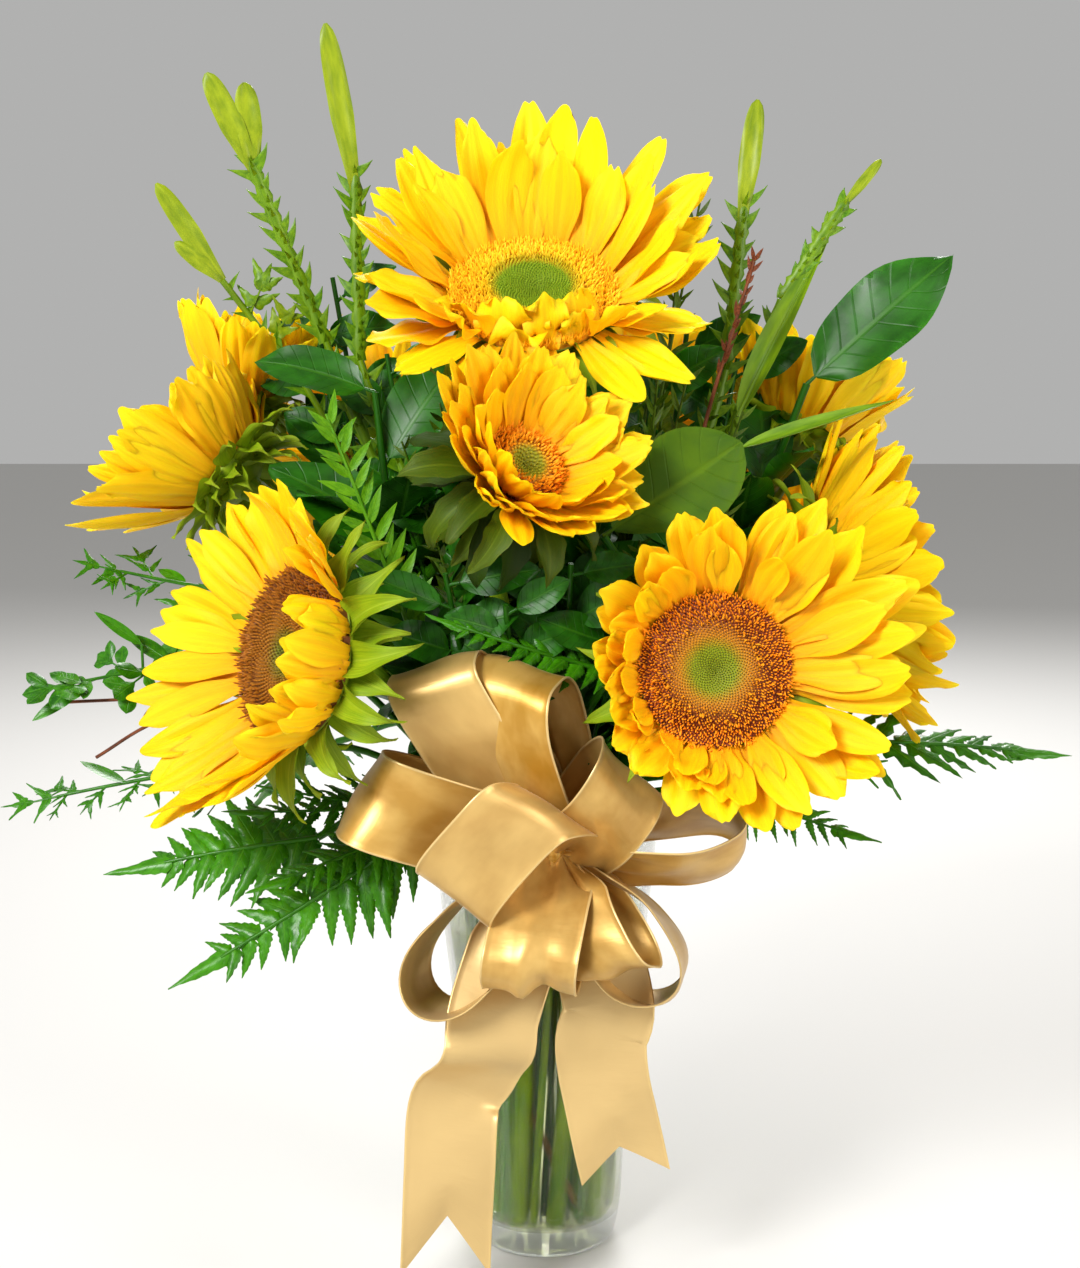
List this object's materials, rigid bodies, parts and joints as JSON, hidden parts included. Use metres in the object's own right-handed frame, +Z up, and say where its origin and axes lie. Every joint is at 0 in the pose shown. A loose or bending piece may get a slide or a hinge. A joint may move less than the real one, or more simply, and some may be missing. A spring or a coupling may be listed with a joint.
{
  "type": "sunflowers in a vase",
  "caption": "Bouquet of sunflowers with mixed greens in a clear glass vase of water, with a gold satin ribbon bow in front.",
  "frame": {"origin": "middle of the vase's underside, on the surface that it stands on", "axes": "+Z up, the bow and the front of the bouquet towards -Y, +X to the viewer's right"},
  "size_m": [0.4461, 0.3353, 0.5489],
  "materials": {
    "glass": "clear polished glass",
    "water": "clear water",
    "ribbon": "gold satin ribbon, fine hem",
    "pick_wood": "green stained wood",
    "petal": "soft, finely veined lengthwise",
    "disc": "fuzzy florets round a green middle",
    "flower_green": "hairy bracts and stem",
    "lemon_leaf": "dark and glossy, pale rib",
    "fern_green": "fresh green, slightly glossy",
    "spike_green": "grey green, matt"
  },
  "bodies": {
    "root": {"vase": "glass", "water": "water", "ribbon_bow": "ribbon", "bow_pick": "pick_wood", "top_disc": "disc", "centre_disc": "disc", "lower_left_disc": "disc", "left_disc": "disc", "upper_left_disc": "disc", "lower_right_disc": "disc", "right_disc": "disc", "upper_right_disc": "disc", "back_left_disc": "disc", "back_disc": "disc", "back_right_disc": "disc", "top_petals": "petal", "centre_petals": "petal", "lower_left_petals": "petal", "left_petals": "petal", "upper_left_petals": "petal", "lower_right_petals": "petal", "right_petals": "petal", "upper_right_petals": "petal", "back_left_petals": "petal", "back_petals": "petal", "back_right_petals": "petal", "top_stem": "flower_green", "centre_stem": "flower_green", "lower_left_stem": "flower_green", "left_stem": "flower_green", "upper_left_stem": "flower_green", "lower_right_stem": "flower_green", "right_stem": "flower_green", "upper_right_stem": "flower_green", "back_left_stem": "flower_green", "back_stem": "flower_green", "back_right_stem": "flower_green", "lemon_leaf_upper_right": "lemon_leaf", "lemon_leaf_right": "lemon_leaf", "lemon_leaf_left": "lemon_leaf", "lemon_leaf_front": "lemon_leaf", "lemon_leaf_back": "lemon_leaf", "fern_lower_left": "fern_green", "fern_left": "fern_green", "fern_front": "fern_green", "fern_right": "fern_green", "fern_back_left": "fern_green", "fern_back_right": "fern_green", "spray_left_low": "fern_green", "spray_left_mid": "fern_green", "spray_left_high": "fern_green", "sprig_front_left": "fern_green", "spike_upper_left": "spike_green", "spike_far_left": "spike_green", "spike_upper_right": "spike_green", "spike_far_right": "spike_green", "strap_leaf": "spike_green"}
  },
  "joints": []
}
